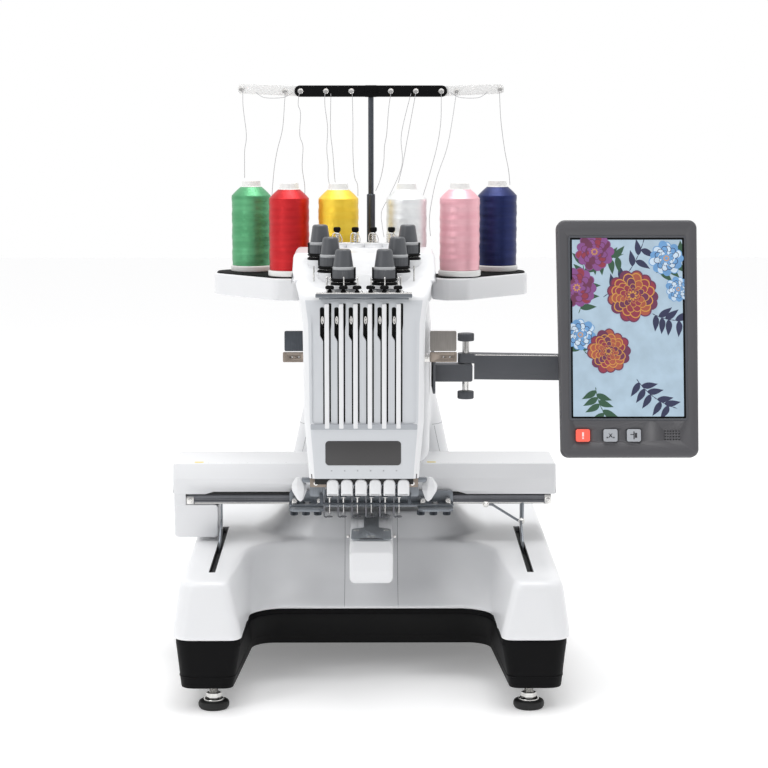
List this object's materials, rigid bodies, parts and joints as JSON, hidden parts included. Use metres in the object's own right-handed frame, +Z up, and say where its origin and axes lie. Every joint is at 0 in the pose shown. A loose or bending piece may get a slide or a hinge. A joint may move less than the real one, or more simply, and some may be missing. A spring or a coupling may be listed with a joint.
{
  "type": "embroidery machine",
  "caption": "Free-arm multi-needle embroidery machine with sliding needle case, crossing carriage, thread stand with spools and a touch-screen panel on a swing arm",
  "frame": {"origin": "middle of the footprint of the whole machine, panel included, on the surface it stands on", "axes": "+Z up, +Y from the needles toward the rear, +X to the operator's right"},
  "size_m": [0.655, 0.589, 0.7478],
  "materials": {
    "white_shell": "moulded, satin gloss",
    "black_plastic": "moulded, fine grain",
    "steel": "nickel plated",
    "dark_steel": "dark coated steel",
    "grey_knob": "moulded grey",
    "panel_grey": "moulded grey",
    "cast_frame": "die cast",
    "screen_glass": "display behind glass",
    "clear_arm": "milky translucent",
    "rubber": "soft foot",
    "red_button": "lit cap",
    "pale_button": "cap",
    "green_thread": "wound rayon thread",
    "red_thread": "wound rayon thread",
    "yellow_thread": "wound rayon thread",
    "white_thread": "wound rayon thread",
    "pink_thread": "wound rayon thread",
    "navy_thread": "wound rayon thread"
  },
  "bodies": {
    "root": {"base_pan": "black_plastic", "base_shell": "white_shell", "body_cover": "white_shell", "rear_cover": "white_shell", "frame_casting": "cast_frame", "cylinder_arm_cover": "white_shell", "needle_plate": "steel", "head_rail": "steel", "spool_stand_base": "white_shell", "main_motor": "dark_steel", "bobbin_case": "steel", "panel_bracket": "dark_steel"},
    "foot_front_left": {"levelling_foot_front_left": "rubber"},
    "foot_rear_left": {"levelling_foot_rear_left": "rubber"},
    "foot_front_right": {"levelling_foot_front_right": "rubber"},
    "foot_rear_right": {"levelling_foot_rear_right": "rubber"},
    "hook_cover": {"hook_cover": "white_shell"},
    "main_shaft": {"main_shaft": "steel"},
    "rotary_hook": {"rotary_hook": "steel"},
    "carriage": {"carriage_housing": "white_shell", "carriage_rail": "dark_steel"},
    "frame_holder": {"frame_holder": "steel"},
    "needle_case": {"needle_case_shell": "white_shell", "needle_case_frame": "cast_frame", "thread_guide_plate": "steel"},
    "needle_bar_1_body": {"needle_bar_1": "steel"},
    "take_up_1_body": {"take_up_lever_1": "steel"},
    "needle_bar_2_body": {"needle_bar_2": "steel"},
    "take_up_2_body": {"take_up_lever_2": "steel"},
    "needle_bar_3_body": {"needle_bar_3": "steel"},
    "take_up_3_body": {"take_up_lever_3": "steel"},
    "needle_bar_4_body": {"needle_bar_4": "steel"},
    "take_up_4_body": {"take_up_lever_4": "steel"},
    "needle_bar_5_body": {"needle_bar_5": "steel"},
    "take_up_5_body": {"take_up_lever_5": "steel"},
    "needle_bar_6_body": {"needle_bar_6": "steel"},
    "take_up_6_body": {"take_up_lever_6": "steel"},
    "tension_1_body": {"tension_knob_1": "grey_knob"},
    "tension_2_body": {"tension_knob_2": "grey_knob"},
    "tension_3_body": {"tension_knob_3": "grey_knob"},
    "tension_4_body": {"tension_knob_4": "grey_knob"},
    "tension_5_body": {"tension_knob_5": "grey_knob"},
    "tension_6_body": {"tension_knob_6": "grey_knob"},
    "panel_arm_body": {"panel_arm": "dark_steel"},
    "panel": {"panel_housing": "panel_grey", "touch_screen": "screen_glass"},
    "start_stop_button_body": {"start_stop_button": "red_button"},
    "thread_cut_button_body": {"thread_cut_button": "pale_button"},
    "threading_button_body": {"threading_button": "pale_button"},
    "guide_bar": {"thread_guide_bar": "black_plastic"},
    "guide_arm_left": {"thread_guide_arm_left": "clear_arm"},
    "guide_arm_right": {"thread_guide_arm_right": "clear_arm"},
    "wing_left": {"stand_wing_left": "white_shell"},
    "wing_right": {"stand_wing_right": "white_shell"},
    "spool_green": {"thread_spool_green": "green_thread"},
    "spool_red": {"thread_spool_red": "red_thread"},
    "spool_yellow": {"thread_spool_yellow": "yellow_thread"},
    "spool_white": {"thread_spool_white": "white_thread"},
    "spool_pink": {"thread_spool_pink": "pink_thread"},
    "spool_navy": {"thread_spool_navy": "navy_thread"}
  },
  "joints": [
    {"name": "foot_front_left_height", "type": "slide", "parent": "root", "child": "foot_front_left", "axis": [0, 0, -1], "range_m": [0, 0.01]},
    {"name": "foot_rear_left_height", "type": "slide", "parent": "root", "child": "foot_rear_left", "axis": [0, 0, -1], "range_m": [0, 0.01]},
    {"name": "foot_front_right_height", "type": "slide", "parent": "root", "child": "foot_front_right", "axis": [0, 0, -1], "range_m": [0, 0.01]},
    {"name": "foot_rear_right_height", "type": "slide", "parent": "root", "child": "foot_rear_right", "axis": [0, 0, -1], "range_m": [0, 0.01]},
    {"name": "hook_cover_hinge", "type": "hinge", "parent": "root", "child": "hook_cover", "pos_m": [-0.072, -0.2245, 0.144], "axis": [1, 0, 0], "range_deg": [0, 75]},
    {"name": "main_shaft_spin", "type": "hinge", "parent": "root", "child": "main_shaft", "pos_m": [-0.072, 0.0055, 0.33], "axis": [0, 1, 0], "continuous": true},
    {"name": "hook_spin", "type": "hinge", "parent": "root", "child": "rotary_hook", "pos_m": [-0.072, -0.2045, 0.1655], "axis": [0, 1, 0], "continuous": true},
    {"name": "carriage_depth", "type": "slide", "parent": "root", "child": "carriage", "axis": [0, 1, 0], "range_m": [-0.085, 0.095]},
    {"name": "frame_side", "type": "slide", "parent": "carriage", "child": "frame_holder", "axis": [1, 0, 0], "range_m": [-0.12, 0.12]},
    {"name": "needle_case_side", "type": "slide", "parent": "root", "child": "needle_case", "axis": [1, 0, 0], "range_m": [-0.034, 0.051]},
    {"name": "needle_bar_1_drop", "type": "slide", "parent": "needle_case", "child": "needle_bar_1_body", "axis": [0, 0, -1], "range_m": [0, 0.024], "stiffness_N_per_m": 40, "springref_m": -0.025},
    {"name": "take_up_1_swing", "type": "hinge", "parent": "needle_case", "child": "take_up_1_body", "pos_m": [-0.1295, -0.2145, 0.435], "axis": [1, 0, 0], "range_deg": [0, 40]},
    {"name": "needle_bar_2_drop", "type": "slide", "parent": "needle_case", "child": "needle_bar_2_body", "axis": [0, 0, -1], "range_m": [0, 0.024], "stiffness_N_per_m": 40, "springref_m": -0.025},
    {"name": "take_up_2_swing", "type": "hinge", "parent": "needle_case", "child": "take_up_2_body", "pos_m": [-0.1125, -0.2145, 0.435], "axis": [1, 0, 0], "range_deg": [0, 40]},
    {"name": "needle_bar_3_drop", "type": "slide", "parent": "needle_case", "child": "needle_bar_3_body", "axis": [0, 0, -1], "range_m": [0, 0.024], "stiffness_N_per_m": 40, "springref_m": -0.025},
    {"name": "take_up_3_swing", "type": "hinge", "parent": "needle_case", "child": "take_up_3_body", "pos_m": [-0.0955, -0.2145, 0.435], "axis": [1, 0, 0], "range_deg": [0, 40]},
    {"name": "needle_bar_4_drop", "type": "slide", "parent": "needle_case", "child": "needle_bar_4_body", "axis": [0, 0, -1], "range_m": [0, 0.024], "stiffness_N_per_m": 40, "springref_m": -0.025},
    {"name": "take_up_4_swing", "type": "hinge", "parent": "needle_case", "child": "take_up_4_body", "pos_m": [-0.0785, -0.2145, 0.435], "axis": [1, 0, 0], "range_deg": [0, 40]},
    {"name": "needle_bar_5_drop", "type": "slide", "parent": "needle_case", "child": "needle_bar_5_body", "axis": [0, 0, -1], "range_m": [0, 0.024], "stiffness_N_per_m": 40, "springref_m": -0.025},
    {"name": "take_up_5_swing", "type": "hinge", "parent": "needle_case", "child": "take_up_5_body", "pos_m": [-0.0615, -0.2145, 0.435], "axis": [1, 0, 0], "range_deg": [0, 40]},
    {"name": "needle_bar_6_drop", "type": "slide", "parent": "needle_case", "child": "needle_bar_6_body", "axis": [0, 0, -1], "range_m": [0, 0.024], "stiffness_N_per_m": 40, "springref_m": -0.025},
    {"name": "take_up_6_swing", "type": "hinge", "parent": "needle_case", "child": "take_up_6_body", "pos_m": [-0.0445, -0.2145, 0.435], "axis": [1, 0, 0], "range_deg": [0, 40]},
    {"name": "tension_1_turn", "type": "hinge", "parent": "needle_case", "child": "tension_1_body", "pos_m": [-0.1337, -0.1807, 0.5345], "axis": [0, 0, 1], "continuous": true},
    {"name": "tension_2_turn", "type": "hinge", "parent": "needle_case", "child": "tension_2_body", "pos_m": [-0.1207, -0.2107, 0.5215], "axis": [0, 0, 1], "continuous": true},
    {"name": "tension_3_turn", "type": "hinge", "parent": "needle_case", "child": "tension_3_body", "pos_m": [-0.105, -0.2395, 0.509], "axis": [0, 0, 1], "continuous": true},
    {"name": "tension_4_turn", "type": "hinge", "parent": "needle_case", "child": "tension_4_body", "pos_m": [-0.056, -0.2395, 0.509], "axis": [0, 0, 1], "continuous": true},
    {"name": "tension_5_turn", "type": "hinge", "parent": "needle_case", "child": "tension_5_body", "pos_m": [-0.0403, -0.2107, 0.5215], "axis": [0, 0, 1], "continuous": true},
    {"name": "tension_6_turn", "type": "hinge", "parent": "needle_case", "child": "tension_6_body", "pos_m": [-0.0273, -0.1807, 0.5345], "axis": [0, 0, 1], "continuous": true},
    {"name": "panel_swing", "type": "hinge", "parent": "root", "child": "panel_arm_body", "pos_m": [0.0468, -0.1145, 0.4], "axis": [0, 0, 1], "range_deg": [-25, 45]},
    {"name": "panel_tilt", "type": "hinge", "parent": "panel_arm_body", "child": "panel", "pos_m": [0.188, -0.1425, 0.3955], "axis": [1, 0, 0], "range_deg": [-10, 15]},
    {"name": "start_stop_button_press", "type": "slide", "parent": "panel", "child": "start_stop_button_body", "axis": [0, 0.9781, -0.2079], "range_m": [0, 0.0015], "stiffness_N_per_m": 400},
    {"name": "thread_cut_button_press", "type": "slide", "parent": "panel", "child": "thread_cut_button_body", "axis": [0, 0.9781, -0.2079], "range_m": [0, 0.0015], "stiffness_N_per_m": 400},
    {"name": "threading_button_press", "type": "slide", "parent": "panel", "child": "threading_button_body", "axis": [0, 0.9781, -0.2079], "range_m": [0, 0.0015], "stiffness_N_per_m": 400},
    {"name": "mast_height", "type": "slide", "parent": "root", "child": "guide_bar", "axis": [0, 0, 1], "range_m": [-0.05, 0]},
    {"name": "guide_arm_left_fold", "type": "hinge", "parent": "guide_bar", "child": "guide_arm_left", "pos_m": [-0.165, 0.0555, 0.738], "axis": [0, -1, 0], "range_deg": [0, 85]},
    {"name": "guide_arm_right_fold", "type": "hinge", "parent": "guide_bar", "child": "guide_arm_right", "pos_m": [0.021, 0.0555, 0.738], "axis": [0, 1, 0], "range_deg": [0, 85]},
    {"name": "stand_wing_left_fold", "type": "hinge", "parent": "root", "child": "wing_left", "pos_m": [-0.1532, 0.0255, 0.5], "axis": [0, 0, -1], "range_deg": [0, 38]},
    {"name": "stand_wing_right_fold", "type": "hinge", "parent": "root", "child": "wing_right", "pos_m": [0.0092, 0.0255, 0.5], "axis": [0, 0, 1], "range_deg": [0, 38]},
    {"name": "spool_green_lift", "type": "slide", "parent": "wing_left", "child": "spool_green", "axis": [0, 0, 1], "range_m": [0, 0.06]},
    {"name": "spool_red_lift", "type": "slide", "parent": "wing_left", "child": "spool_red", "axis": [0, 0, 1], "range_m": [0, 0.06]},
    {"name": "spool_yellow_lift", "type": "slide", "parent": "root", "child": "spool_yellow", "axis": [0, 0, 1], "range_m": [0, 0.06]},
    {"name": "spool_white_lift", "type": "slide", "parent": "root", "child": "spool_white", "axis": [0, 0, 1], "range_m": [0, 0.06]},
    {"name": "spool_pink_lift", "type": "slide", "parent": "wing_right", "child": "spool_pink", "axis": [0, 0, 1], "range_m": [0, 0.06]},
    {"name": "spool_navy_lift", "type": "slide", "parent": "wing_right", "child": "spool_navy", "axis": [0, 0, 1], "range_m": [0, 0.06]}
  ],
  "couplings": [
    {"joint": "hook_spin", "follows": "main_shaft_spin", "ratio": 2},
    {"joint": "take_up_1_swing", "follows": "needle_bar_1_drop", "rad_per_m": 28},
    {"joint": "take_up_2_swing", "follows": "needle_bar_2_drop", "rad_per_m": 28},
    {"joint": "take_up_3_swing", "follows": "needle_bar_3_drop", "rad_per_m": 28},
    {"joint": "take_up_4_swing", "follows": "needle_bar_4_drop", "rad_per_m": 28},
    {"joint": "take_up_5_swing", "follows": "needle_bar_5_drop", "rad_per_m": 28},
    {"joint": "take_up_6_swing", "follows": "needle_bar_6_drop", "rad_per_m": 28}
  ]
}
